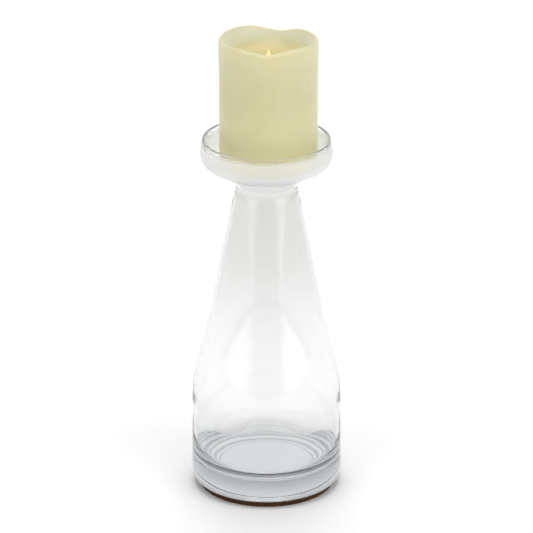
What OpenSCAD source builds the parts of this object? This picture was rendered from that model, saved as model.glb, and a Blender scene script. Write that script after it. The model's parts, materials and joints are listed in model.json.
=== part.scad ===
// Bottle-shaped glass candle holder with a battery pillar candle standing in its cup.
// Millimetres, +Z up. The origin is the centre of the pad's underside, where the holder stands.

/* [Glass] */
// Outside radius of the heavy base
base_r = 59.5; // [58.5:0.5:60.5]
// Height of the glass rim above the table
rim_z = 290; // [286:1:294]
// Thickness of the cup wall at the lip
lip_t = 2.2; // [1.8:0.1:2.6]
// Height of the inside floor
floor_z = 20.8; // [20:0.1:24]
// Radius of the mould ring in the underside of the base
ring_r = 38; // [30:0.5:44]
// Depth of the mould ring
ring_d = 0.7; // [0.4:0.1:1.5]

/* [Base pad] */
// Radius of the cork pad
pad_r = 54; // [50:0.5:55]
// Thickness of the cork
pad_t = 4.9; // [4:0.1:5.4]

/* [Candle] */
// Radius of the wax pillar at its foot
wax_r = 38.1; // [37.5:0.1:38.5]
// Height of the pillar to its mean rim
wax_h = 101.4; // [98:0.2:104]
// Height of the wax pool floor inside the rim
pool_z = 85; // [84:0.5:88]
// Sideways offset of the candle in the cup
cand_x = 1.5; // [0:0.1:1.5]
// Height of the candle's foot above the table
cand_z = 270.2; // [270.2:0.1:272]
// Height of the flame tip above the candle's foot
flame_z = 93.6; // [93:0.2:95]

/* [Battery door] */
// Length of the door
door_l = 32.4; // [31.6:0.1:32.6]
// Width of the door
door_w = 17.2; // [17:0.1:17.4]

/* [Switch] */
// Travel of the slide switch from one end to the other
switch_travel = 4; // [3:0.5:4]

/* [Hidden] */
$fn = 64;

film_t = 0.3;
glass_z = pad_t + film_t;              // underside of the glass
plate_z0 = 0.8; plate_z1 = 3.6;        // base plate, from the candle's foot
door_z1 = 2.4;                         // inner face of the door
hinge_y = door_w / 2; hinge_z = 2.0; hinge_r = 1.2; hinge_pin_r = 0.7;
core_r = 32.6; core_t = 1.4; core_z = 78;
cell_r = 7.1; cell_x = 7.6; bay_r = 7.7; bay_z = 57.9; box_z = 59.9;
board_z = 62.4; board_t = 1.6;
switch_y = -20.5;

// --- curves -------------------------------------------------------------
// Smooth curve through hand-chosen points: Hermite spans with chord-weighted slopes.
function dist(a, b) = norm(b - a);
function slope(p, i) =
    i == 0 ? (p[1] - p[0]) / dist(p[0], p[1])
    : i == len(p) - 1 ? (p[i] - p[i - 1]) / dist(p[i - 1], p[i])
    : let (h0 = dist(p[i - 1], p[i]), h1 = dist(p[i], p[i + 1]))
      ((p[i + 1] - p[i]) / h1 * h0 + (p[i] - p[i - 1]) / h0 * h1) / (h0 + h1);
function span(p, i, t) = let (h = dist(p[i], p[i + 1]))
    (2 * t^3 - 3 * t^2 + 1) * p[i] + (t^3 - 2 * t^2 + t) * h * slope(p, i)
    + (3 * t^2 - 2 * t^3) * p[i + 1] + (t^3 - t^2) * h * slope(p, i + 1);
function curve(p, n) = [for (i = [0 : len(p) - 2], k = [0 : n - 1]) span(p, i, k / n), p[len(p) - 1]];
function arc(c, r, a0, a1, n) = [for (k = [0 : n]) c + r * [cos(a0 + (a1 - a0) * k / n), sin(a0 + (a1 - a0) * k / n)]];

// The body is near straight. The cone is a straight taper up to the neck, swollen at the shoulder.
neck_r = 25.5; neck_z = 246; cone_lean = 0.19; wall_t = 2.6;
shoulder_z = 93; shoulder_swell = 2.4; shoulder_spread = 25;
function cone_r(z) = neck_r + cone_lean * (neck_z - z) + shoulder_swell * exp(-pow((z - shoulder_z) / shoulder_spread, 2) / 2);
function body_r(z) = min(base_r - (z - 16) / 100, cone_r(z));

// Outside of the glass, from the foot to the lip: [radius, height].
outside = concat([[base_r - 4, glass_z], [base_r - 1.9, glass_z + 0.8], [base_r - 0.6, glass_z + 2.8], [base_r - 0.1, glass_z + 6], [base_r, glass_z + 11]],
    [for (z = [30, 60, 76, 86, 97, 110, 125, 140, 160, 185, 210, 235, 246]) [body_r(z), z]],
    [[24.8, 250], [25.0, 253.5], [27.0, 256.5], [30.4, 260], [34.0, 263], [39.0, 266], [43.2, 268], [46.8, 270], [49.7, 272.5],
    [51.2, 276], [51.6, 281], [51.0, 286], [50.1, rim_z]]);
// Inside of the glass, from the lip down the cup, through the throat and to the floor.
inside = concat([[50.1 - lip_t, rim_z], [48.5, 285], [48.7, 281], [48.3, 277.2], [46.9, 274.3], [44.6, 272.2], [42.2, 270.7], [40, 269.9],
    [38, 269.8], [36.2, 269.5], [34.4, 268.2], [32.2, 266.0], [29.3, 263.3], [26.2, 260.1], [23.6, 256.8], [22.1, 253.4], [21.8, 250]],
    [for (z = [246, 235, 210, 185, 160, 140, 125, 110, 97, 86]) [body_r(z) - wall_t, z]],
    [[56.2, 66], [56.3, 50], [56.2, floor_z + 19.2], [55.9, floor_z + 15.2], [54.9, floor_z + 10.8],
    [53.2, floor_z + 7.2], [50.8, floor_z + 4], [48.4, floor_z + 1.8], [46, floor_z + 0.5], [43.6, floor_z + 0.05], [40, floor_z]]);

module glass_profile() {
    polygon(concat(
        [[0, glass_z], [ring_r, glass_z], [ring_r, glass_z + ring_d], [ring_r + 0.7, glass_z + ring_d], [ring_r + 0.7, glass_z]],
        curve(outside, 2),
        arc([50.1 - lip_t / 2, rim_z], lip_t / 2, 20, 160, 6),
        curve(inside, 2),
        [[0, floor_z]]));
}
module glass_vessel() { color([0.86, 0.9, 0.9, 0.35]) rotate_extrude($fn = 96) glass_profile(); }

// --- pad ----------------------------------------------------------------
module base_pad() {
    color("saddlebrown") rotate_extrude($fn = 96)
        polygon([[0, 0], [pad_r - 0.4, 0], [pad_r, 0.4], [pad_r, pad_t - 0.2], [pad_r - 0.2, pad_t], [0, pad_t]]);
}
module pad_film() { color("gainsboro") translate([0, 0, pad_t]) cylinder(r = pad_r - 0.6, h = film_t, $fn = 96); }

// --- candle -------------------------------------------------------------
module at_candle() { translate([cand_x, 0, cand_z]) children(); }

// Height of the melted rim above or below its mean, by direction.
function turn(a, b) = let (d = (a - b + 540) % 360 - 180) d;
function bump(a, c, w) = exp(-pow(turn(a, c) / w, 2) / 2);
// Lobes of the melted rim: [height, direction, spread]. One deep dip at the back, two humps at the front with a shallow dip between.
rim_lobes = [[-4.5, 78, 16], [2.2, 234, 16], [2.4, 304, 18], [-1, 268, 12], [0.8, 143, 22]];
function rim(a, i = 0) = i == len(rim_lobes) ? 0 : rim_lobes[i][0] * bump(a, rim_lobes[i][1], rim_lobes[i][2]) + rim(a, i + 1);
// Section of the wax shell: [radius, height, share of the rim's wave].
wax_out = [[wax_r - 0.5, 0, 0], [wax_r, 0.6, 0], [wax_r + 0.1, 25, 0], [wax_r + 0.2, 50, 0], [wax_r + 0.3, 74, 0], [wax_r + 0.45, 88, 0.3],
    [wax_r + 0.6, wax_h - 4, 0.9], [wax_r + 0.4, wax_h - 1.6, 1], [wax_r - 0.4, wax_h - 0.4, 1], [wax_r - 1.4, wax_h, 1]];
wax_in = [[wax_r - 2.4, wax_h - 0.8, 1], [wax_r - 3.5, wax_h - 2.6, 0.95], [wax_r - 5.2, wax_h - 5.8, 0.75], [wax_r - 8, pool_z + 6.6, 0.45],
    [wax_r - 12, pool_z + 3.2, 0.2], [wax_r - 18, pool_z + 1.2, 0.05], [14, pool_z + 0.4, 0], [6.2, pool_z, 0], [5.3, pool_z - 0.7, 0], [5.3, core_z + 0.4, 0],
    [20, core_z + 0.4, 0], [33.1, core_z + 0.4, 0], [33.1, 40, 0], [33.1, 0.6, 0], [33.7, 0, 0]];
module wax_shell() {
    s = concat(wax_out, wax_in);
    m = len(s); n = 56;
    pts = [for (i = [0 : n - 1], j = [0 : m - 1]) let (a = 360 * i / n)
        [s[j][0] * cos(a), s[j][0] * sin(a), s[j][1] + s[j][2] * rim(a)]];
    tri = [for (i = [0 : n - 1], j = [0 : m - 1]) let (i2 = (i + 1) % n, j2 = (j + 1) % m)
        each [[i * m + j, i * m + j2, i2 * m + j], [i2 * m + j, i * m + j2, i2 * m + j2]]];
    color([0.87, 0.84, 0.68]) at_candle() polyhedron(pts, tri, convexity = 6);
}
module flame_tip() {
    o = curve([[3.9, 80.2], [3.6, 82.4], [3.0, 84.6], [2.2, 87], [1.6, 89], [1.1, 91], [0.6, 92.4], [0.25, flame_z - 0.25]], 3);
    color([1, 0.93, 0.65, 0.8]) at_candle() rotate_extrude()
        polygon(concat([[2.7, 79], [4.9, 79], [4.9, 80.2]], o, [[0, flame_z], [0, 83.4]], arc([0, 80.6], 2.7, 80, 0, 5)));
}
module led() {
    color([1, 0.75, 0.3, 0.9]) at_candle() rotate_extrude()
        polygon(concat([[0, 73.9], [2.9, 73.9], [2.9, 74.9], [2.5, 74.9]], arc([0, 80.2], 2.5, 0, 90, 7)));
}
module led_leads() {
    color("silver") at_candle() for (x = [-1.27, 1.27]) translate([x, 0, 61.2]) cylinder(r = 0.3, h = 12.7, $fn = 24);
}
module led_holder() {
    color([0.2, 0.2, 0.2]) at_candle() rotate_extrude()
        polygon([[3.0, 74.2], [3.9, 74.2], [3.9, core_z], [5, core_z], [5, core_z + 1], [2.55, core_z + 1], [2.55, 75], [3.0, 75]]);
}

module glue_ring() {
    color([0.85, 0.83, 0.75]) at_candle() translate([0, 0, core_z]) difference() {
        cylinder(r = 27, h = 0.4);
        translate([0, 0, -1]) cylinder(r = 19, h = 3);
    }
}

// --- inner core ---------------------------------------------------------
screw_at = [for (a = [90, 210, 330]) 26.5 * [cos(a), sin(a)]];
module core_tube() {
    color([0.93, 0.92, 0.88]) at_candle() difference() {
        union() {
            difference() {
                translate([0, 0, plate_z1]) cylinder(r = core_r, h = core_z - plate_z1, $fn = 96);
                translate([0, 0, plate_z1 - 1]) cylinder(r = core_r - core_t, h = core_z - plate_z1 - 0.6, $fn = 96);
            }
            for (a = [90, 210, 330]) rotate(a) {
                translate([26.5, 0, plate_z1]) cylinder(r = 3.2, h = 11);
                translate([28, -1.1, plate_z1 + 0.7]) cube([core_r - core_t - 27.4, 2.2, 9.3]);
            }
        }
        translate([0, 0, core_z - 4]) cylinder(r = 4, h = 6);
        for (p = screw_at) translate([p[0], p[1], plate_z1 - 1]) cylinder(r = 1.15, h = 10, $fn = 32);
    }
}
module base_plate() {
    color([0.93, 0.92, 0.88]) at_candle() difference() {
        translate([0, 0, plate_z0]) cylinder(r = 32.8, h = plate_z1 - plate_z0, $fn = 96);
        // door seat, battery bay and hinge slot
        translate([-door_l / 2 - 0.2, -door_w / 2 - 0.2, 0]) cube([door_l + 0.4, door_w, door_z1]);
        for (x = [-cell_x, cell_x]) translate([x, 0, 0]) cylinder(r = bay_r, h = 5);
        translate([-cell_x, -bay_r, 0]) cube([2 * cell_x, 2 * bay_r, 5]);
        translate([-door_l / 2 - 0.2, hinge_y - 1.7, 0]) cube([door_l + 0.4, 3.3, 5]);
        translate([-door_l / 2 - 1.8, hinge_y, hinge_z]) rotate([0, 90, 0]) cylinder(r = hinge_pin_r + 0.06, h = door_l + 3.6, $fn = 32);
        // fingernail notch in front of the door
        translate([0, -door_w / 2 - 0.6, -1.2]) sphere(r = 4);
        // switch window with its sloped recess
        translate([-switch_travel / 2 - 1.8, switch_y - 1.5, 0]) cube([switch_travel + 3.6, 3, 5]);
        translate([0, switch_y, plate_z0]) linear_extrude(0.8) square([11, 5.4], center = true);
        // screws
        for (p = screw_at) translate([p[0], p[1], 0]) {
            cylinder(r = 2.6, h = 2.3);
            cylinder(r = 1.3, h = 6, $fn = 32);
        }
        for (x = [-21, 21]) translate([x, 0, 0]) { cylinder(r = 2.1, h = 2.0); cylinder(r = 1.0, h = 6, $fn = 32); }
    }
}
module screw(head_r, head_h, r, l, slot = true) {
    // head downwards at z = 0, shank upwards
    difference() {
        union() {
            cylinder(r1 = head_r - 0.4, r2 = head_r, h = 0.5, $fn = 32);
            translate([0, 0, 0.5]) cylinder(r = head_r, h = head_h - 0.5, $fn = 32);
            translate([0, 0, head_h]) cylinder(r = r, h = l - 1, $fn = 32);
            translate([0, 0, head_h + l - 1]) cylinder(r1 = r, r2 = r * 0.3, h = 1, $fn = 32);
        }
        if (slot) for (a = [0, 90]) rotate(a) translate([-head_r * 0.6, -0.25, -1]) cube([head_r * 1.2, 0.5, 1 + head_h * 0.6]);
    }
}
module base_screws() { color("silver") at_candle() for (p = screw_at) translate([p[0], p[1], 0.9]) screw(2.3, 1.4, 1.1, 9); }
module box_screws() { color("silver") at_candle() for (x = [-21, 21]) translate([x, 0, 0.85]) screw(1.8, 1.15, 0.85, 6); }

// --- battery box --------------------------------------------------------
module bay(z0, h) {
    for (x = [-cell_x, cell_x]) translate([x, 0, z0]) cylinder(r = bay_r, h = h);
    translate([-cell_x, -5, z0]) cube([2 * cell_x, 10, h]);
}
module battery_box() {
    color([0.16, 0.16, 0.17]) at_candle() difference() {
        union() {
            translate([-17.2, -9.4, plate_z1]) cube([34.4, 18.8, box_z - plate_z1]);
            for (x = [-12.5, 12.5]) translate([x, 0, box_z]) cylinder(r = 2.4, h = board_z - box_z);
            for (s = [-1, 1]) translate([s * 21, 0, plate_z1]) cylinder(r = 3.2, h = 6);
            for (s = [-1, 1]) translate([s * 18.8 - 2.2, -1.2, plate_z1]) cube([4.4, 2.4, 6]);
        }
        bay(plate_z1 - 1, bay_z - plate_z1 + 1);
        for (x = [-12.5, 12.5]) translate([x, 0, board_z - 3.8]) cylinder(r = 0.95, h = 5, $fn = 32);
        for (x = [-21, 21]) translate([x, 0, plate_z1 - 1]) cylinder(r = 0.9, h = 6, $fn = 32);
        for (x = [-cell_x, cell_x]) translate([x - 1.6, 4.8, bay_z - 1]) cube([3.2, 1, 5]);
    }
}
// AA cell, foot at z = 0, positive nub upwards
module cell() {
    rotate_extrude($fn = 72) polygon([[0, 0], [5.6, 0], [5.6, 0.25], [6.6, 0.25], [cell_r, 0.75], [cell_r, 48.7], [6.5, 49.4], [2.9, 49.5], [2.75, 50.4], [2.5, 50.5], [0, 50.5]]);
}
module battery_1() { color([0.15, 0.15, 0.16]) at_candle() translate([-cell_x, 0, 7]) cell(); }
module battery_2() { color([0.15, 0.15, 0.16]) at_candle() translate([cell_x, 0, 53.9]) rotate([180, 0, 0]) cell(); }

// Round wire swept along a path, end caps flat
function unit(v) = v / norm(v);
function heading(p, i) = unit(p[min(i + 1, len(p) - 1)] - p[max(i - 1, 0)]);
function frames(p, i, u) = i == len(p) ? [] : let (d = heading(p, i), w = unit(u - (u * d) * d))
    concat([[w, cross(d, w)]], frames(p, i + 1, w));
module swept(p, r, k) {
    f = frames(p, 0, abs(heading(p, 0)[2]) > 0.9 ? [1, 0, 0] : [0, 0, 1]);
    n = len(p);
    pts = [for (i = [0 : n - 1], j = [0 : k - 1]) p[i] + r * (cos(360 * j / k) * f[i][0] + sin(360 * j / k) * f[i][1])];
    polyhedron(pts, concat([[for (j = [0 : k - 1]) j]], [[for (j = [k - 1 : -1 : 0]) (n - 1) * k + j]],
        [for (i = [0 : n - 2], j = [0 : k - 1]) let (j2 = (j + 1) % k)
            each [[i * k + j, (i + 1) * k + j, (i + 1) * k + j2], [i * k + j, (i + 1) * k + j2, i * k + j2]]]), convexity = 8);
}
// Conical spring: a flat first coil, then rising
module coil(r0, r1, h, turns, wire) {
    n = 12 * turns;
    swept([for (i = [0 : n]) let (t = i / n, a = 360 * turns * t, q = min(1, max(0, (t - 0.12) / 0.76)))
        [(r0 + (r1 - r0) * t) * cos(a), (r0 + (r1 - r0) * t) * sin(a), wire + (h - 2 * wire) * q]], wire, 6);
}
module contact_positive() {
    color("silver") at_candle() {
        translate([-cell_x - 4.5, -4.5, bay_z - 0.35]) cube([9, 9, 0.35]);
        translate([-cell_x - 1.4, 5.0, bay_z - 0.35]) cube([2.8, 0.5, 3.6]);
        translate([-cell_x - 1.4, 4.4, bay_z - 0.35]) cube([2.8, 1.1, 0.35]);
    }
}
module contact_negative() {
    color("silver") at_candle() {
        translate([cell_x - 4.5, -4.5, bay_z - 0.35]) cube([9, 9, 0.35]);
        translate([cell_x - 1.4, 5.0, bay_z - 0.35]) cube([2.8, 0.5, 3.6]);
        translate([cell_x - 1.4, 4.4, bay_z - 0.35]) cube([2.8, 1.1, 0.35]);
    }
}
module contact_spring() { color("silver") at_candle() translate([cell_x, 0, 53.95]) coil(2.2, 4.1, bay_z - 0.37 - 53.95, 4, 0.3); }
module door_contact() {
    color("silver") at_candle() {
        translate([-12.4, -4.3, door_z1 + 0.02]) cube([24.8, 8.6, 0.3]);
        translate([cell_x, 0, door_z1 + 0.3]) cylinder(r1 = 2.4, r2 = 1.6, h = 3.35 - door_z1 - 0.3, $fn = 32);
    }
}
module door_spring() { color("silver") at_candle() translate([-cell_x, 0, door_z1 + 0.34]) coil(4.1, 2.2, 6.95 - door_z1 - 0.34, 4, 0.3); }
module battery_door() {
    color([0.9, 0.89, 0.85]) at_candle() difference() {
        union() {
            translate([-door_l / 2, -door_w / 2, plate_z0]) cube([door_l, door_w, door_z1 - plate_z0]);
            translate([-door_l / 2 + 0.1, hinge_y, hinge_z]) rotate([0, 90, 0]) cylinder(r = hinge_r, h = door_l - 0.2);
            translate([-door_l / 2 - 1.4, hinge_y, hinge_z]) rotate([0, 90, 0]) cylinder(r = hinge_pin_r, h = door_l + 2.8, $fn = 32);
            // latch bump on the springy tongue
            translate([-5.5, -door_w / 2 - 0.15, 1.3]) cube([11, 0.6, 0.5]);
        }
        // grip grooves and latch slots
        for (i = [0 : 4]) translate([-5, -door_w / 2 + 2 + i * 1.1, 0]) cube([10, 0.5, plate_z0 + 0.35]);
        for (s = [-1, 1]) translate([s * 6.4 - 0.35, -door_w / 2 - 1, 0]) cube([0.7, 5.4, 4]);
    }
}

// --- slide switch -------------------------------------------------------
module at_switch() { at_candle() translate([0, switch_y, plate_z1]) children(); }
module switch_frame() {
    color("silver") at_switch() difference() {
        translate([-6, -3, 0]) cube([12, 6, 5]);
        translate([-5.5, -2.5, 0.5]) cube([11, 5, 6]);
        translate([-switch_travel / 2 - 1.8, -1.4, -1]) cube([switch_travel + 3.6, 2.8, 2]);
    }
}
module switch_wafer() {
    color("peru") at_switch() difference() {
        translate([-5.45, -2.45, 3.7]) cube([10.9, 4.9, 1.3]);
        for (x = [-3, 0, 3]) translate([x, 0, 3]) cylinder(r = 0.42, h = 4, $fn = 24);
    }
}
module switch_pins() {
    color("gold") at_switch() for (x = [-3, 0, 3]) translate([x, 0, 3.4]) {
        cylinder(r = 0.9, h = 0.28, $fn = 24);
        cylinder(r = 0.4, h = 5, $fn = 24);
    }
}
module switch_knob() {
    color([0.1, 0.1, 0.1]) at_candle() translate([-switch_travel / 2, switch_y, 0]) {
        translate([-2.6, -2.2, plate_z1 + 0.7]) cube([5.2, 4.4, 1.6]);
        translate([-1.6, -1.2, 1.3]) cube([3.2, 2.4, plate_z1 - 0.4]);
        for (i = [-1, 0, 1]) translate([i * 1.1 - 0.3, -1.2, 0.95]) cube([0.6, 2.4, 0.6]);
    }
}
module switch_wiper() {
    color("gold") at_switch() translate([-switch_travel / 2, 0, 2.32]) difference() {
        translate([-2.4, -1, 0]) cube([4.8, 2, 1.0]);
        translate([-2.1, -2, 0.2]) cube([4.2, 4, 0.6]);
    }
}

// --- electronics --------------------------------------------------------
module circuit_board() {
    color("darkgreen") at_candle() translate([0, 0, board_z]) difference() {
        linear_extrude(board_t) hull() for (x = [-14, 14], y = [-8.5, 8.5]) translate([x, y]) circle(r = 1.5, $fn = 32);
        for (x = [-12.5, 12.5]) translate([x, 0, -1]) cylinder(r = 1.1, h = 4, $fn = 32);
        for (x = [-1.27, 1.27]) translate([x, 0, -1]) cylinder(r = 0.4, h = 4, $fn = 24);
    }
}
module timer_chip() {
    color([0.1, 0.1, 0.1]) at_candle() translate([-6.5, -4.5, board_z + board_t]) {
        translate([-2.5, -2, 0.2]) cube([5, 4, 1.4]);
        for (i = [0 : 3], s = [-1, 1]) translate([-1.9 + i * 1.27 - 0.2, s * 2.6 - 0.6, 0.01]) cube([0.4, 1.2, 0.4]);
    }
}
module resistors() {
    color("tan") at_candle() for (y = [3.2, 6.2]) translate([5, y, board_z + board_t + 1.1]) rotate([0, 90, 0]) {
        cylinder(r = 0.9, h = 3.4, $fn = 32);
        translate([0, 0, -1.6]) cylinder(r = 0.25, h = 6.6, $fn = 24);
        for (z = [-1.6, 5]) translate([0, 0, z]) rotate([0, 90, 0]) translate([0, 0, -0.25]) cylinder(r = 0.25, h = 1.3, $fn = 24);
    }
}
module capacitor() {
    color("midnightblue") at_candle() translate([6.5, -4, board_z + board_t + 0.02]) rotate_extrude($fn = 48)
        polygon([[0, 0], [2.5, 0], [2.5, 0.8], [2.3, 1.1], [2.5, 1.4], [2.5, 6.6], [2.2, 7], [0, 7]]);
}
module board_screws() {
    color("silver") at_candle() for (x = [-12.5, 12.5]) translate([x, 0, board_z + board_t + 1.3]) rotate([180, 0, 0]) screw(1.8, 1.3, 0.85, 5);
}
// Insulated wires along hand-routed points
pad_z = board_z + board_t + 0.05;
module wire(p) { at_candle() swept(curve(p, 4), 0.6, 8); }
module wire_positive() { color("red") wire([[-7.6, 6.15, 60.5], [-7.6, 9, 60.6], [-7.6, 11.6, 61.4], [-7.6, 12.2, 63.5], [-7.6, 11, 66], [-7.6, 8.6, 66.6], [-7.6, 7.8, pad_z + 1], [-7.6, 7.8, pad_z]]); }
module wire_negative() { color([0.08, 0.08, 0.08]) wire([[7.6, 6.15, 60.5], [7.6, 9, 60.6], [8, 11.6, 61.4], [9, 12.2, 63.5], [11, 11, 66], [11.8, 8.6, 66.6], [12, 7.8, pad_z + 1], [12, 7.8, pad_z]]); }
module wire_switch(x, x2) { wire([[x, switch_y, 12.05], [x, switch_y, 15], [x, -19, 20], [(x + x2) / 2, -14.5, 28], [x2, -12.2, 40], [x2, -12.2, 56], [x2, -12.2, 63], [x2, -10.8, 66], [x2, -8.8, 66.6], [x2, -8, pad_z + 1], [x2, -8, pad_z]]); }
module wire_switch_common() { color("red") wire_switch(0, 0); }
module wire_switch_on() { color("white") wire_switch(-3, -2); }
module wire_switch_timer() { color("gold") wire_switch(3, 2); }

glass_vessel();
base_pad();
pad_film();
wax_shell();
flame_tip();
led();
led_leads();
led_holder();
glue_ring();
core_tube();
base_plate();
base_screws();
battery_box();
box_screws();
battery_1();
battery_2();
contact_positive();
contact_negative();
contact_spring();
door_contact();
door_spring();
battery_door();
switch_frame();
switch_wafer();
switch_pins();
switch_knob();
switch_wiper();
circuit_board();
timer_chip();
resistors();
capacitor();
board_screws();
wire_positive();
wire_negative();
wire_switch_common();
wire_switch_on();
wire_switch_timer();
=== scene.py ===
import json
import math

import bpy
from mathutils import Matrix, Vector, noise


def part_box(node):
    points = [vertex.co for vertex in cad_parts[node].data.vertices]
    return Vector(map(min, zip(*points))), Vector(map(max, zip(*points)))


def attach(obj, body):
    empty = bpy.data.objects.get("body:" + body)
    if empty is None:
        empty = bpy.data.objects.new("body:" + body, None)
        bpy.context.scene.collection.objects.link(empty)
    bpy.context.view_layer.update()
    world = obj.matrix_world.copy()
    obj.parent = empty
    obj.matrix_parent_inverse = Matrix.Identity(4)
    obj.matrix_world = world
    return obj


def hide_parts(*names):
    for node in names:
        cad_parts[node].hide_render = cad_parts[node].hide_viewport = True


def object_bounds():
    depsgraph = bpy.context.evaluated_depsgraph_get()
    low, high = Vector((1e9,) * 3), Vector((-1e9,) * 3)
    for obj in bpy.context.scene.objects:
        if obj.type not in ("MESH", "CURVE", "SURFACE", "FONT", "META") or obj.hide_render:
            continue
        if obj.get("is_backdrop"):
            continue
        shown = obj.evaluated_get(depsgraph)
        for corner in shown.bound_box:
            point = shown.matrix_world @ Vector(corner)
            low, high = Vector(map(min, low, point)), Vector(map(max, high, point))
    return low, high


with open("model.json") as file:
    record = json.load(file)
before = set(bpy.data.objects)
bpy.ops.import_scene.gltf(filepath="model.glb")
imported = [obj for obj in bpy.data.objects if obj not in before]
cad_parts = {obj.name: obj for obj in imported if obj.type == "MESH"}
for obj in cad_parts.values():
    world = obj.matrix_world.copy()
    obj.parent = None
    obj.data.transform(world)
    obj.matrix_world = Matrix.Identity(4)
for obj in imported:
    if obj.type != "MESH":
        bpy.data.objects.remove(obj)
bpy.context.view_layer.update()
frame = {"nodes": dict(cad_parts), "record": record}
nodes = frame["nodes"]

MM = 0.001
CX, CZ = 1.5, 270.2          # the candle's axis and foot, mm


# ---------------------------------------------------------------- curves
def dist(a, b):
    return math.dist(a, b)


def slope(p, i):
    if i == 0:
        h = dist(p[0], p[1])
        return [(b - a) / h for a, b in zip(p[0], p[1])]
    if i == len(p) - 1:
        h = dist(p[-2], p[-1])
        return [(b - a) / h for a, b in zip(p[-2], p[-1])]
    h0, h1 = dist(p[i - 1], p[i]), dist(p[i], p[i + 1])
    return [((c - b) / h1 * h0 + (b - a) / h0 * h1) / (h0 + h1) for a, b, c in zip(p[i - 1], p[i], p[i + 1])]


def span(p, i, t):
    h = dist(p[i], p[i + 1])
    s0, s1 = slope(p, i), slope(p, i + 1)
    return [(2 * t**3 - 3 * t**2 + 1) * p[i][k] + (t**3 - 2 * t**2 + t) * h * s0[k]
            + (3 * t**2 - 2 * t**3) * p[i + 1][k] + (t**3 - t**2) * h * s1[k] for k in range(len(p[0]))]


def curve(p, n):
    return [span(p, i, k / n) for i in range(len(p) - 1) for k in range(n)] + [list(p[-1])]


def arc(c, r, a0, a1, n):
    return [[c[0] + r * math.cos(math.radians(a0 + (a1 - a0) * k / n)), c[1] + r * math.sin(math.radians(a0 + (a1 - a0) * k / n))]
            for k in range(n + 1)]


def clean(profile, gap=0.02):
    out = [profile[0]]
    for q in profile[1:]:
        if dist(q, out[-1]) > gap:
            out.append(q)
    return out


# ---------------------------------------------------------------- meshes
def add_mesh(name, verts, faces, smooth=True):
    me = bpy.data.meshes.new(name)
    me.from_pydata([tuple(v) for v in verts], [], faces)
    me.validate()
    me.update()
    if smooth:
        me.polygons.foreach_set("use_smooth", [True] * len(me.polygons))
    o = bpy.data.objects.new(name, me)
    bpy.context.scene.collection.objects.link(o)
    return o


def revolve(name, profile, n, centre=(0, 0), wave=None):
    """Closed lathe of an (r, z) profile in mm, axis to axis or a closed ring. wave(point, r, z, angle) may move a point."""
    on_axis = profile[0][0] < 1e-6 and profile[-1][0] < 1e-6
    verts, rings = [], []
    for r, z in profile:
        if r < 1e-6:
            rings.append([len(verts)])
            verts.append((centre[0] * MM, centre[1] * MM, z * MM))
            continue
        ring = []
        for k in range(n):
            a = 2 * math.pi * k / n
            rr, zz = (r, z) if wave is None else wave(r, z, a)
            ring.append(len(verts))
            verts.append(((centre[0] + rr * math.cos(a)) * MM, (centre[1] + rr * math.sin(a)) * MM, zz * MM))
        rings.append(ring)
    faces = []
    pairs = list(zip(rings, rings[1:]))
    if not on_axis:
        pairs.append((rings[-1], rings[0]))
    for a, b in pairs:
        for k in range(n):
            k2 = (k + 1) % n
            if len(a) == 1 and len(b) == 1:
                continue
            if len(a) == 1:
                faces.append((a[0], b[k2], b[k]))
            elif len(b) == 1:
                faces.append((a[k], a[k2], b[0]))
            else:
                faces.append((a[k], a[k2], b[k2], b[k]))
    return add_mesh(name, verts, faces)


# ---------------------------------------------------------------- materials
def new_mat(name):
    m = bpy.data.materials.new(name)
    m.use_nodes = True
    t = m.node_tree
    b = next(n for n in t.nodes if n.type == "BSDF_PRINCIPLED")
    return m, t, b


def node(t, kind, **props):
    n = t.nodes.new(kind)
    for k, v in props.items():
        if k.startswith("_"):
            n.inputs[k[1:].replace("_", " ")].default_value = v
        else:
            setattr(n, k, v)
    return n


def coords(t):
    return t.nodes.new("ShaderNodeTexCoord").outputs["Object"]


def noise_tex(t, scale, detail=4.0, rough=0.5, vec=None, stretch=None):
    n = t.nodes.new("ShaderNodeTexNoise")
    n.inputs["Scale"].default_value = scale
    n.inputs["Detail"].default_value = detail
    n.inputs["Roughness"].default_value = rough
    v = vec or coords(t)
    if stretch:
        mp = t.nodes.new("ShaderNodeMapping")
        mp.inputs["Scale"].default_value = stretch
        t.links.new(v, mp.inputs["Vector"])
        v = mp.outputs["Vector"]
    t.links.new(v, n.inputs["Vector"])
    return n.outputs["Fac"]


def ramp(t, fac, stops):
    r = t.nodes.new("ShaderNodeValToRGB")
    e = r.color_ramp.elements
    while len(e) < len(stops):
        e.new(0.5)
    for el, (pos, col) in zip(e, stops):
        el.position = pos
        el.color = (*col, 1) if len(col) == 3 else col
    t.links.new(fac, r.inputs["Fac"])
    return r.outputs["Color"]


def maprange(t, fac, a, b, c, d):
    m = t.nodes.new("ShaderNodeMapRange")
    m.inputs["From Min"].default_value = a
    m.inputs["From Max"].default_value = b
    m.inputs["To Min"].default_value = c
    m.inputs["To Max"].default_value = d
    t.links.new(fac, m.inputs["Value"])
    return m.outputs["Result"]


def mix(t, fac, a, b, kind="MIX"):
    m = t.nodes.new("ShaderNodeMix")
    m.data_type = "RGBA"
    m.blend_type = kind
    for sock, val in ((m.inputs[0], fac), (m.inputs[6], a), (m.inputs[7], b)):
        if isinstance(val, bpy.types.NodeSocket):
            t.links.new(val, sock)
        elif isinstance(val, (int, float)):
            sock.default_value = val
        else:
            sock.default_value = (*val, 1) if len(val) == 3 else val
    return m.outputs[2]


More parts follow.
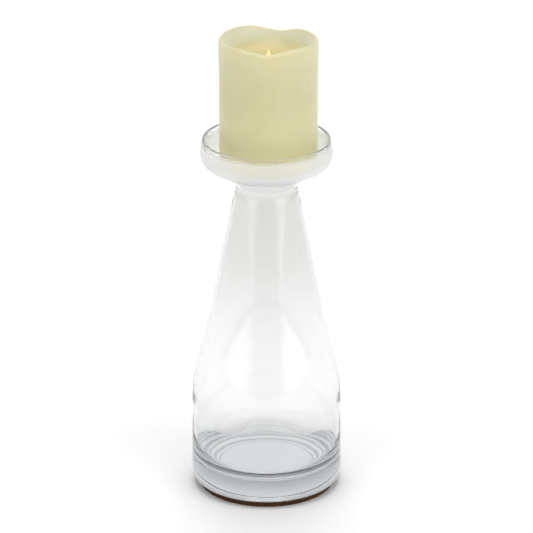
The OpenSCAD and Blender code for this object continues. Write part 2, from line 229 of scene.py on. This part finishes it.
def bump(t, b, heights, distance=0.0001):
    """heights: list of (socket, strength). Chained bumps into the shader's normal."""
    last = None
    for h, s in heights:
        n = t.nodes.new("ShaderNodeBump")
        n.inputs["Strength"].default_value = s
        n.inputs["Distance"].default_value = distance
        t.links.new(h, n.inputs["Height"])
        if last is not None:
            t.links.new(last, n.inputs["Normal"])
        last = n.outputs["Normal"]
    t.links.new(last, b.inputs["Normal"])


def z_of(t):
    s = t.nodes.new("ShaderNodeSeparateXYZ")
    t.links.new(coords(t), s.inputs[0])
    return s.outputs


def setp(b, **kw):
    for k, v in kw.items():
        b.inputs[k.replace("_", " ")].default_value = v


def glass_material():
    """Clear soda-lime glass that turns frosted in the cup, where it also gets a faint painted glow; its colour is
    painted greyer up the body to the neck as painted shade.
    """
    m, t, b = new_mat("clear_glass")
    z = z_of(t)[2]
    satin_and_painted_glow = ramp(t, maprange(t, z, 0.250, 0.292, 0, 1), [(0.10, (0, 0, 0)), (0.40, (1, 1, 1)), (0.86, (1, 1, 1)), (0.94, (0, 0, 0))])
    # painted shade: the base colour greys with height, from white low down to about 0.85 at the neck, and is white
    # again at the cup
    tint = ramp(t, maprange(t, z, 0.0, 0.3, 0, 1), [(0.20, (1, 1, 1)), (0.31, (0.985, 0.985, 0.984)), (0.447, (0.963, 0.963, 0.960)),
                (0.557, (0.902, 0.900, 0.892)), (0.667, (0.860, 0.857, 0.845)), (0.83, (0.848, 0.843, 0.826)), (0.875, (1, 1, 1))])
    t.links.new(tint, b.inputs["Base Color"])
    t.links.new(maprange(t, satin_and_painted_glow, 0, 1, 0.0, 0.30), b.inputs["Roughness"])
    t.links.new(maprange(t, satin_and_painted_glow, 0, 1, 1.0, 0.70), b.inputs["Transmission Weight"])
    # painted light: the same mask that makes the cup rougher and less clear also feeds a faint white emission, a
    # painted glow on the cup
    t.links.new(satin_and_painted_glow, b.inputs["Emission Color"])
    setp(b, IOR=1.5, Emission_Strength=0.05)
    bump(t, b, [(noise_tex(t, 22, 1.0, 0.4, stretch=(1, 1, 0.45)), 0.10)], 0.00006)
    v = t.nodes.new("ShaderNodeVolumeAbsorption")
    v.inputs["Color"].default_value = (0.515, 0.54, 0.562, 1)
    v.inputs["Density"].default_value = 25
    out = next(n for n in t.nodes if n.type == "OUTPUT_MATERIAL")
    t.links.new(v.outputs["Volume"], out.inputs["Volume"])
    return m


def wax_material():
    m, t, b = new_mat("ivory_wax")
    setp(b, Roughness=0.42, IOR=1.44, Subsurface_Weight=0.55, Subsurface_Radius=(1.0, 0.72, 0.36), Subsurface_Scale=0.006,
         Coat_Weight=0.12, Coat_Roughness=0.35, Sheen_Weight=0.22, Sheen_Roughness=0.45)
    z = z_of(t)[2]
    big = noise_tex(t, 26, 3.0, 0.55, stretch=(1, 1, 0.6))
    fine = noise_tex(t, 420, 5.0, 0.6)
    col = ramp(t, big, [(0.3, (0.705, 0.660, 0.365)), (0.7, (0.735, 0.694, 0.410))])
    # painted light: the wall is painted paler low in the cup, where the cup shades it, and bluer towards the thin rim,
    # standing in for light through the thin wax
    col = mix(t, 1.0, col, ramp(t, maprange(t, z, 0.27, 0.375, 0, 1), [(0.0, (1.16, 1.15, 1.10)), (0.3, (1.08, 1.075, 1.04)), (0.6, (1, 1, 1)), (1.0, (0.98, 0.99, 1.05))]), "MULTIPLY")
    # painted light and shade: the hollow is painted from pale at the rim to a dark amber round the flame, standing in
    # for the flame's glow and the shade of the deep pool
    off = t.nodes.new("ShaderNodeMapping")
    off.inputs["Location"].default_value = (-CX * MM, 0, 0)
    off.inputs["Scale"].default_value = (1, 1, 0)
    t.links.new(coords(t), off.inputs["Vector"])
    rad = t.nodes.new("ShaderNodeVectorMath")
    rad.operation = "LENGTH"
    t.links.new(off.outputs["Vector"], rad.inputs[0])
    hollow_painted_glow_shade = ramp(t, maprange(t, z, (CZ + 84.5) * MM, (CZ + 103) * MM, 0, 1), [(0.0, (0.49, 0.39, 0.15)), (0.2, (0.55, 0.48, 0.24)), (0.4, (0.60, 0.575, 0.365)), (0.6, (0.640, 0.640, 0.475)), (1.0, (0.665, 0.675, 0.540))])
    # painted shade: the wax is painted darker over the rim top, out to about 38.8 mm, to hold back the highlight the
    # top light puts on it
    col = mix(t, 1.0, col, ramp(t, maprange(t, rad.outputs["Value"], 0.0360, 0.0388, 0, 1), [(0.0, (0.75, 0.76, 0.80)), (0.6, (0.77, 0.78, 0.82)), (0.95, (1, 1, 1))]), "MULTIPLY")
    col = mix(t, maprange(t, rad.outputs["Value"], 0.0344, 0.0364, 1, 0), col, hollow_painted_glow_shade)
    speck = maprange(t, fine, 0.35, 0.7, 0.97, 1.03)
    col = mix(t, 1.0, col, ramp(t, speck, [(0.0, (0.96, 0.955, 0.94)), (1.0, (1, 1, 1))]), "MULTIPLY")
    t.links.new(col, b.inputs["Base Color"])
    t.links.new(maprange(t, noise_tex(t, 90, 4.0, 0.6), 0.3, 0.7, 0.36, 0.50), b.inputs["Roughness"])
    bump(t, b, [(noise_tex(t, 60, 3.0, 0.5), 0.10), (fine, 0.06)], 0.0006)
    return m


def flame_material():
    m, t, b = new_mat("flame_plastic")
    z = maprange(t, z_of(t)[2], (CZ + 85) * MM, (CZ + 93.6) * MM, 0, 1)
    t.links.new(ramp(t, z, [(0.0, (0.93, 0.66, 0.24)), (0.5, (0.90, 0.70, 0.30)), (1.0, (0.86, 0.74, 0.40))]), b.inputs["Base Color"])
    t.links.new(ramp(t, z, [(0.0, (1.0, 0.62, 0.16)), (0.12, (1.0, 0.90, 0.52)), (0.45, (1.0, 0.90, 0.50)), (0.75, (0.75, 0.60, 0.22)), (1.0, (0.35, 0.26, 0.08))]), b.inputs["Emission Color"])
    setp(b, Emission_Strength=0.42, Roughness=0.38, IOR=1.46, Subsurface_Weight=0.4, Subsurface_Radius=(1.0, 0.7, 0.4), Subsurface_Scale=0.003)
    bump(t, b, [(noise_tex(t, 500, 3.0), 0.15)], 0.0002)
    return m


def cork_material():
    m, t, b = new_mat("cork")
    c = coords(t)
    v1 = node(t, "ShaderNodeTexVoronoi")
    v1.inputs["Scale"].default_value = 620
    t.links.new(c, v1.inputs["Vector"])
    v2 = node(t, "ShaderNodeTexVoronoi", feature="DISTANCE_TO_EDGE")
    v2.inputs["Scale"].default_value = 620
    t.links.new(c, v2.inputs["Vector"])
    col = ramp(t, v1.outputs["Color"], [(0.0, (0.033, 0.011, 0.002)), (0.45, (0.072, 0.025, 0.005)), (0.8, (0.112, 0.042, 0.009)), (1.0, (0.045, 0.015, 0.003))])
    col = mix(t, 1.0, col, ramp(t, v2.outputs["Distance"], [(0.0, (0.45, 0.42, 0.38)), (0.12, (1, 1, 1))]), "MULTIPLY")
    col = mix(t, 1.0, col, ramp(t, noise_tex(t, 1600, 3.0), [(0.3, (0.8, 0.78, 0.75)), (0.7, (1.1, 1.1, 1.1))]), "MULTIPLY")
    t.links.new(col, b.inputs["Base Color"])
    setp(b, Roughness=0.88, Specular_IOR_Level=0.3)
    bump(t, b, [(v2.outputs["Distance"], 0.5), (noise_tex(t, 1500, 4.0), 0.35)], 0.0005)
    return m


def film_material():
    """White paper-backed film under the glass, painted with dark rings as painted shade and given a painted glow."""
    m, t, b = new_mat("adhesive_film")
    mp = t.nodes.new("ShaderNodeMapping")
    mp.inputs["Scale"].default_value = (1, 1, 0)
    t.links.new(coords(t), mp.inputs["Vector"])
    ln = t.nodes.new("ShaderNodeVectorMath")
    ln.operation = "LENGTH"
    t.links.new(mp.outputs["Vector"], ln.inputs[0])
    # painted shade: dark rings at about 38, 42 to 44.6 and 51.5 mm stand in for the shade lines seen through the glass
    # base
    stops = [(0, 0.92), (37.4, 0.92), (38.2, 0.5), (39, 0.98), (40.6, 0.98), (42, 0.62), (44.6, 0.6), (46, 0.98), (49.5, 0.98), (51.5, 0.5)]
    col = ramp(t, maprange(t, ln.outputs["Value"], 0, 0.06, 0, 1), [(r / 60, (v, v * 1.003, v * 1.005)) for r, v in stops])
    col = mix(t, 1.0, col, ramp(t, noise_tex(t, 300, 4.0), [(0.3, (0.97, 0.97, 0.97)), (0.7, (1, 1, 1))]), "MULTIPLY")
    t.links.new(col, b.inputs["Base Color"])
    # painted light: the film glows in its own colour, a painted glow that lifts it under the glass
    t.links.new(col, b.inputs["Emission Color"])
    setp(b, Emission_Strength=0.66, Roughness=0.35)
    return m


def plastic(name, col, rough=0.45, grain=900, depth=0.00006, sss=0.0, vary=0.06, tint=None):
    m, t, b = new_mat(name)
    lo = tuple(c * (1 - vary) for c in col)
    hi = tuple(min(1, c * (1 + vary)) for c in (tint or col))
    t.links.new(ramp(t, noise_tex(t, 35, 4.0), [(0.3, lo), (0.7, hi)]), b.inputs["Base Color"])
    t.links.new(maprange(t, noise_tex(t, 260, 4.0), 0.3, 0.7, rough - 0.07, rough + 0.09), b.inputs["Roughness"])
    setp(b, IOR=1.5)
    if sss:
        setp(b, Subsurface_Weight=sss, Subsurface_Radius=(1, 0.8, 0.6), Subsurface_Scale=0.002)
    bump(t, b, [(noise_tex(t, grain, 3.0), 0.5)], depth)
    return m


def metal(name, col, rough=0.28, brushed=None, dull=0.8):
    m, t, b = new_mat(name)
    stain = noise_tex(t, 180, 5.0, 0.6)
    t.links.new(ramp(t, stain, [(0.3, tuple(c * dull for c in col)), (0.65, col)]), b.inputs["Base Color"])
    scratch = noise_tex(t, 700, 5.0, 0.7, stretch=brushed or (1, 1, 1))
    t.links.new(maprange(t, scratch, 0.3, 0.7, rough - 0.08, rough + 0.14), b.inputs["Roughness"])
    setp(b, Metallic=1.0)
    bump(t, b, [(scratch, 0.25)], 0.00003)
    return m


def cell_material(name, top, flip):
    """Film-wrapped cell: plated ends, a dark wrap and a coppery band at the positive end."""
    m, t, b = new_mat(name)
    h = maprange(t, z_of(t)[2], top - (0 if flip else 50.5) * MM, top - (50.5 if flip else 0) * MM, 0, 50.5)
    steel, dark, band = (0.62, 0.61, 0.59), (0.018, 0.019, 0.022), (0.55, 0.27, 0.10)
    step = ramp(t, maprange(t, h, 0, 50.5, 0, 1), [(0.0, steel), (0.018, dark), (0.72, band), (0.985, steel)])
    r = [n for n in t.nodes if n.type == "VALTORGB"][-1]
    r.color_ramp.interpolation = "CONSTANT"
    t.links.new(mix(t, 1.0, step, ramp(t, noise_tex(t, 120, 3.0), [(0.3, (0.9, 0.9, 0.9)), (0.7, (1, 1, 1))]), "MULTIPLY"), b.inputs["Base Color"])
    met = ramp(t, maprange(t, h, 0, 50.5, 0, 1), [(0.0, (1, 1, 1)), (0.018, (0, 0, 0)), (0.72, (0.7, 0.7, 0.7)), (0.985, (1, 1, 1))])
    [n for n in t.nodes if n.type == "VALTORGB"][-1].color_ramp.interpolation = "CONSTANT"
    t.links.new(met, b.inputs["Metallic"])
    t.links.new(maprange(t, noise_tex(t, 300, 3.0), 0.3, 0.7, 0.16, 0.30), b.inputs["Roughness"])
    setp(b, Coat_Weight=0.5, Coat_Roughness=0.1)
    bump(t, b, [(noise_tex(t, 200, 2.0), 0.2)], 0.00005)
    return m


def board_material():
    m, t, b = new_mat("board_green")
    c = coords(t)
    br = node(t, "ShaderNodeTexBrick", offset=0.5, squash=1.0)
    br.inputs["Scale"].default_value = 260
    br.inputs["Mortar Size"].default_value = 0.06
    br.inputs["Color1"].default_value = (0.016, 0.105, 0.050, 1)
    br.inputs["Color2"].default_value = (0.020, 0.125, 0.060, 1)
    br.inputs["Mortar"].default_value = (0.035, 0.19, 0.095, 1)
    t.links.new(c, br.inputs["Vector"])
    t.links.new(br.outputs["Color"], b.inputs["Base Color"])
    t.links.new(maprange(t, noise_tex(t, 200, 3.0), 0.3, 0.7, 0.25, 0.4), b.inputs["Roughness"])
    bump(t, b, [(br.outputs["Fac"], 0.4)], 0.00003)
    return m


def resistor_material():
    m, t, b = new_mat("resistor_body")
    x = maprange(t, z_of(t)[0], 0.0065, 0.0099, 0, 1)
    col = ramp(t, x, [(0.0, (0.62, 0.43, 0.24)), (0.18, (0.45, 0.16, 0.04)), (0.27, (0.62, 0.43, 0.24)), (0.42, (0.01, 0.01, 0.01)),
                      (0.51, (0.62, 0.43, 0.24)), (0.8, (0.75, 0.55, 0.18)), (0.9, (0.62, 0.43, 0.24))])
    [n for n in t.nodes if n.type == "VALTORGB"][-1].color_ramp.interpolation = "CONSTANT"
    t.links.new(col, b.inputs["Base Color"])
    t.links.new(maprange(t, noise_tex(t, 300, 3.0), 0.3, 0.7, 0.25, 0.4), b.inputs["Roughness"])
    bump(t, b, [(noise_tex(t, 700, 3.0), 0.4)], 0.00005)
    return m


# ---------------------------------------------------------------- the glass
PAD, GLASS, FLOOR, BOND = 4.9, 5.2, 20.8, 5.15
NECK_R, NECK_Z, LEAN, WALL = 25.5, 246, 0.19, 2.6
SHOULDER_Z, SWELL, SPREAD = 93, 2.4, 25


def body_r(z):
    cone = NECK_R + LEAN * (NECK_Z - z) + SWELL * math.exp(-((z - SHOULDER_Z) / SPREAD) ** 2 / 2)
    return min(59.5 - (z - 16) / 100, cone)


OUT = ([[55.5, GLASS], [57.6, GLASS + 0.8], [58.9, GLASS + 2.8], [59.4, GLASS + 6], [59.5, GLASS + 11]]
       + [[body_r(z), z] for z in (30, 60, 76, 86, 97, 110, 125, 140, 160, 185, 210, 235, 246)]
       + [[24.8, 250], [25.0, 253.5], [27.0, 256.5], [30.4, 260], [34.0, 263], [39.0, 266], [43.2, 268], [46.8, 270], [49.7, 272.5],
          [51.2, 276], [51.6, 281], [51.0, 286], [50.1, 290]])
INS = ([[47.9, 290], [48.5, 285], [48.7, 281], [48.3, 277.2], [46.9, 274.3], [44.6, 272.2], [42.2, 270.7], [40, 269.9],
        [38, 269.8], [36.2, 269.5], [34.4, 268.2], [32.2, 266.0], [29.3, 263.3], [26.2, 260.1], [23.6, 256.8], [22.1, 253.4], [21.8, 250]]
       + [[body_r(z) - WALL, z] for z in (246, 235, 210, 185, 160, 140, 125, 110, 97, 86)]
       + [[56.2, 66], [56.3, 50], [56.2, FLOOR + 19.2], [55.9, FLOOR + 15.2], [54.9, FLOOR + 10.8],
          [53.2, FLOOR + 7.2], [50.8, FLOOR + 4], [48.4, FLOOR + 1.8], [46, FLOOR + 0.5], [43.6, FLOOR + 0.05], [40, FLOOR]])
under = [[0, BOND], [15, BOND], [30, BOND], [37.9, BOND], [38.0, BOND + 0.5], [38.35, BOND + 0.75], [38.7, BOND + 0.5], [38.8, BOND], [46, BOND],
         [52, BOND], [54, BOND]]
profile = (under + curve([[55.5, BOND]] + OUT[1:], 5) + arc([49.0, 290], 1.1, 8, 172, 16)
           + curve(INS, 5) + [[30, FLOOR], [18, FLOOR], [8, FLOOR], [0, FLOOR]])
profile = clean(profile, 0.05)
profile[0][0] = profile[-1][0] = 0.0
glass = revolve("glass_body", profile, 256)
glass.data.materials.append(glass_material())
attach(glass, "holder")
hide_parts("glass_vessel")

# ---------------------------------------------------------------- the pad
def pad_wave(r, z, a):
    if r < 52:
        return r, z
    n = noise.noise(Vector((math.cos(a) * 26, math.sin(a) * 26, z * 1.3)))
    return min(54.0, r - 0.22 - 0.30 * abs(n)), z
pad_profile = ([[0, 0], [20, 0], [40, 0], [52.4, 0], [53.6, 0.0], [53.95, 0.25]] + [[54, 0.7 + 0.36 * k] for k in range(11)]
               + [[53.9, PAD - 0.2], [53.6, PAD], [52.4, PAD], [40, PAD], [0, PAD]])
pad = revolve("cork_pad", pad_profile, 720, wave=pad_wave)
pad.data.materials.append(cork_material())
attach(pad, "holder")
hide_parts("base_pad")

# ---------------------------------------------------------------- the wax
H, POOL = 101.4, 85.0


def lump(a, c, w):
    d = (math.degrees(a) - c + 540) % 360 - 180
    return math.exp(-(d / w) ** 2 / 2)


LOBES = [(-4.5, 78, 16), (2.2, 234, 16), (2.4, 304, 18), (-1, 268, 12), (0.8, 143, 22)]


def rim(a):
    return sum(h * lump(a, c, w) for h, c, w in LOBES)


R0 = 38.1
WAX = [[R0 - 0.5, 0, 0], [R0 - 0.1, 0.25, 0], [R0, 0.8, 0], [R0 + 0.1, 25, 0], [R0 + 0.2, 50, 0], [R0 + 0.3, 74, 0], [R0 + 0.45, 88, 0.3],
       [R0 + 0.6, H - 4, 0.9], [R0 + 0.4, H - 1.6, 1], [R0 - 0.4, H - 0.4, 1], [R0 - 1.4, H, 1],
       [R0 - 2.4, H - 0.8, 1], [R0 - 3.5, H - 2.6, 0.95], [R0 - 5.2, H - 5.8, 0.75], [R0 - 8, POOL + 6.6, 0.45],
       [R0 - 12, POOL + 3.2, 0.2], [R0 - 18, POOL + 1.2, 0.05], [14, POOL + 0.4, 0], [9, POOL + 0.1, 0], [6.2, POOL, 0], [5.4, POOL - 0.7, 0]]
wax_curve = curve(WAX, 8)
wax_tail = [[5.3, 82, 0], [5.3, 78.6, 0], [6, 78.4, 0], [20, 78.4, 0], [32.6, 78.4, 0], [33.1, 78.0, 0], [33.1, 60, 0], [33.1, 40, 0], [33.1, 20, 0], [33.1, 1, 0], [33.5, 0.2, 0], [33.7, 0, 0], [35.6, 0, 0]]
verts, faces = [], []
sect = wax_curve + wax_tail
NA = 288
for i in range(NA):
    a = 2 * math.pi * i / NA
    for j, (r, z, w) in enumerate(sect):
        zz = z + w * rim(a)
        rr = r
        if j < len(wax_curve):
            e = noise.noise(Vector((math.cos(a) * 2.2, math.sin(a) * 2.2, z * 0.045)))
            f = noise.noise(Vector((math.cos(a) * 7 + 9, math.sin(a) * 7, z * 0.16)))
            rr = r - 0.16 * abs(e) - 0.05 * abs(f)
            if w > 0.4:
                zz += 0.18 * noise.noise(Vector((math.cos(a) * 5, math.sin(a) * 5, r * 0.1)))
        verts.append(((CX + rr * math.cos(a)) * MM, rr * math.sin(a) * MM, (CZ + max(zz, 0)) * MM))
m_ = len(sect)
for i in range(NA):
    i2 = (i + 1) % NA
    for j in range(m_):
        j2 = (j + 1) % m_
        faces.append((i * m_ + j, i2 * m_ + j, i2 * m_ + j2, i * m_ + j2))
wax = add_mesh("wax_pillar", verts, faces)
wax.data.materials.append(wax_material())
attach(wax, "candle")
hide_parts("wax_shell")

# ---------------------------------------------------------------- the flame tip
fo = curve([[3.9, 80.2], [3.6, 82.4], [3.0, 84.6], [2.2, 87], [1.6, 89], [1.1, 91], [0.6, 92.4], [0.25, 93.35]], 6)
fp = [[2.7, 79], [4.9, 79], [4.9, 80.0], [4.7, 80.2]] + fo + [[0, 93.6]]
flame = revolve("flame_glow", [[0, 83.5], [0.5, 83.3]] + [[r, z] for r, z in arc([0, 80.6], 2.7, 78, 0, 6)] + fp, 72, centre=(CX, 0))
for v in flame.data.vertices:
    v.co.z += CZ * MM
flame.data.materials.append(flame_material())
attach(flame, "candle")
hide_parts("flame_tip")

# ---------------------------------------------------------------- carried-over pieces
mats = {
    "adhesive_film": film_material(),
    "led_epoxy": plastic("led_epoxy", (0.93, 0.60, 0.20), 0.2, 300, sss=0.5),
    "tinned_wire": metal("tinned_wire", (0.80, 0.79, 0.77), 0.3),
    "black_abs": plastic("black_abs", (0.022, 0.022, 0.024), 0.5, 1100, vary=0.15),
    "ivory_abs": plastic("ivory_abs", (0.74, 0.70, 0.55), 0.48, 1100, sss=0.15, vary=0.03),
    "door_abs": plastic("door_abs", (0.72, 0.68, 0.53), 0.46, 1100, sss=0.15, vary=0.03),
    "hot_melt": plastic("hot_melt", (0.70, 0.66, 0.50), 0.35, 120, depth=0.0004, sss=0.4),
    "zinc_screw": metal("zinc_screw", (0.72, 0.72, 0.70), 0.3),
    "nickel_contact": metal("nickel_contact", (0.76, 0.73, 0.67), 0.22),
    "spring_steel": metal("spring_steel", (0.70, 0.69, 0.67), 0.25),
    "switch_can": metal("switch_can", (0.74, 0.75, 0.76), 0.3),
    "phenolic": plastic("phenolic", (0.26, 0.12, 0.045), 0.5, 400, vary=0.12),
    "switch_brass": metal("switch_brass", (0.83, 0.62, 0.30), 0.25),
    "switch_nylon": plastic("switch_nylon", (0.018, 0.018, 0.020), 0.42, 900, vary=0.15),
    "board_green": board_material(),
    "chip_black": plastic("chip_black", (0.020, 0.020, 0.021), 0.55, 1500, vary=0.2),
    "resistor_body": resistor_material(),
    "capacitor_can": plastic("capacitor_can", (0.020, 0.035, 0.11), 0.3, 500, vary=0.1),
    "wire_red": plastic("wire_red", (0.42, 0.012, 0.010), 0.34, 400, vary=0.08),
    "wire_black": plastic("wire_black", (0.012, 0.012, 0.013), 0.34, 400, vary=0.2),
    "wire_white": plastic("wire_white", (0.72, 0.72, 0.68), 0.34, 400, vary=0.04),
    "wire_yellow": plastic("wire_yellow", (0.66, 0.40, 0.02), 0.34, 400, vary=0.06),
}
slot_of = {s["node"]: s["material_slot"] for s in frame["record"]["subparts"]}
glow = mats["led_epoxy"].node_tree
b = next(n for n in glow.nodes if n.type == "BSDF_PRINCIPLED")
b.inputs["Emission Color"].default_value = (1.0, 0.62, 0.2, 1)
b.inputs["Emission Strength"].default_value = 2.0
for name, o in nodes.items():
    if o.hide_render:
        continue
    if name in ("battery_1", "battery_2"):
        lo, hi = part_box(name)
        mat = cell_material("cell_wrap_" + name[-1], hi.z, name == "battery_2")
    else:
        mat = mats[slot_of[name]]
    o.data.materials.clear()
    o.data.materials.append(mat)
    if name in ("base_plate", "battery_door", "battery_box", "switch_frame", "switch_wafer", "switch_knob", "core_tube", "led_holder"):
        bv = o.modifiers.new("edges", "BEVEL")
        bv.width = 0.00018
        bv.segments = 2
        bv.limit_method = "ANGLE"
        bv.angle_limit = math.radians(40)
        bv.harden_normals = True

# ---------------------------------------------------------------- stage, light, camera
floor = add_mesh("stage_floor", [(-4, -4, 0), (4, -4, 0), (4, 4, 0), (-4, 4, 0)], [(0, 1, 2, 3)], smooth=False)
fm, ft, fb = new_mat("stage_floor")
fb.inputs["Base Color"].default_value = (0.93, 0.93, 0.93, 1)
fb.inputs["Roughness"].default_value = 0.9
fb.inputs["Specular IOR Level"].default_value = 0.1
floor.data.materials.append(fm)
floor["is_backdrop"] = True


def area(name, loc, look, size, power, col=(1, 1, 1), size_y=None):
    l = bpy.data.lights.new(name, "AREA")
    l.energy = power
    l.color = col
    l.shape = "RECTANGLE" if size_y else "SQUARE"
    l.size = size
    if size_y:
        l.size_y = size_y
    o = bpy.data.objects.new(name, l)
    bpy.context.scene.collection.objects.link(o)
    o.location = loc
    o.rotation_mode = "QUATERNION"
    o.rotation_quaternion = (Vector(look) - Vector(loc)).to_track_quat("-Z", "Y")
    return o


area("key_top", (0, 0.6, 2.6), (0, 0.6, 0), 1.8, 60, size_y=3.4)

# White tent all round, open and dark towards the front.
world = bpy.data.worlds.new("studio")
world.use_nodes = True
wt = world.node_tree
bg = next(n for n in wt.nodes if n.type == "BACKGROUND")
way = wt.nodes.new("ShaderNodeTexCoord").outputs["Generated"]
sep = wt.nodes.new("ShaderNodeSeparateXYZ")
wt.links.new(way, sep.inputs[0])
front = maprange(wt, sep.outputs[1], -1, 1, 0, 1)
sky = ramp(wt, front, [(0.25, (0.10, 0.10, 0.105)), (0.5, (0.10, 0.10, 0.10)), (0.74, (0.15, 0.15, 0.15)), (0.88, (0.75, 0.76, 0.77))])


def lobe(direction, near, far, value):
    """A soft-edged bright patch of tent: full inside `near` degrees of the direction, gone at `far`."""
    d = wt.nodes.new("ShaderNodeVectorMath")
    d.operation = "DOT_PRODUCT"
    d.inputs[1].default_value = Vector(direction).normalized()
    wt.links.new(way, d.inputs[0])
    m = wt.nodes.new("ShaderNodeMapRange")
    m.interpolation_type = "SMOOTHSTEP"
    for k, v in (("From Min", math.cos(math.radians(far))), ("From Max", math.cos(math.radians(near))), ("To Min", 0), ("To Max", 1)):
        m.inputs[k].default_value = v
    wt.links.new(d.outputs["Value"], m.inputs["Value"])
    return mix(wt, 1.0, sky, mix(wt, m.outputs["Result"], (0, 0, 0), (value, value, value)), "ADD")


sky = lobe((0, -1.5, 1.75), 14, 46, 0.38)
sky = lobe((-1.3, -0.9, 0.55), 12, 38, 1.60)
sky = lobe((1.3, -0.9, 0.55), 12, 38, 2.10)
wt.links.new(sky, bg.inputs["Color"])
bg.inputs["Strength"].default_value = 1.0
bpy.context.scene.world = world

cam_data = bpy.data.cameras.new("cam")
cam = bpy.data.objects.new("cam", cam_data)
bpy.context.scene.collection.objects.link(cam)
cam_data.sensor_width = 36
cam_data.lens = 250.9
cam_data.clip_start = 0.05
cam_data.clip_end = 50
cam.location = (0, -2.7, 1.288)
cam.rotation_mode = "QUATERNION"
cam.rotation_quaternion = (Vector((0, 0, 0.1835)) - cam.location).to_track_quat("-Z", "Y")
bpy.context.scene.camera = cam
bpy.context.scene.view_settings.view_transform = "Standard"
bpy.context.scene.view_settings.look = "None"

lo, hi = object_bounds()
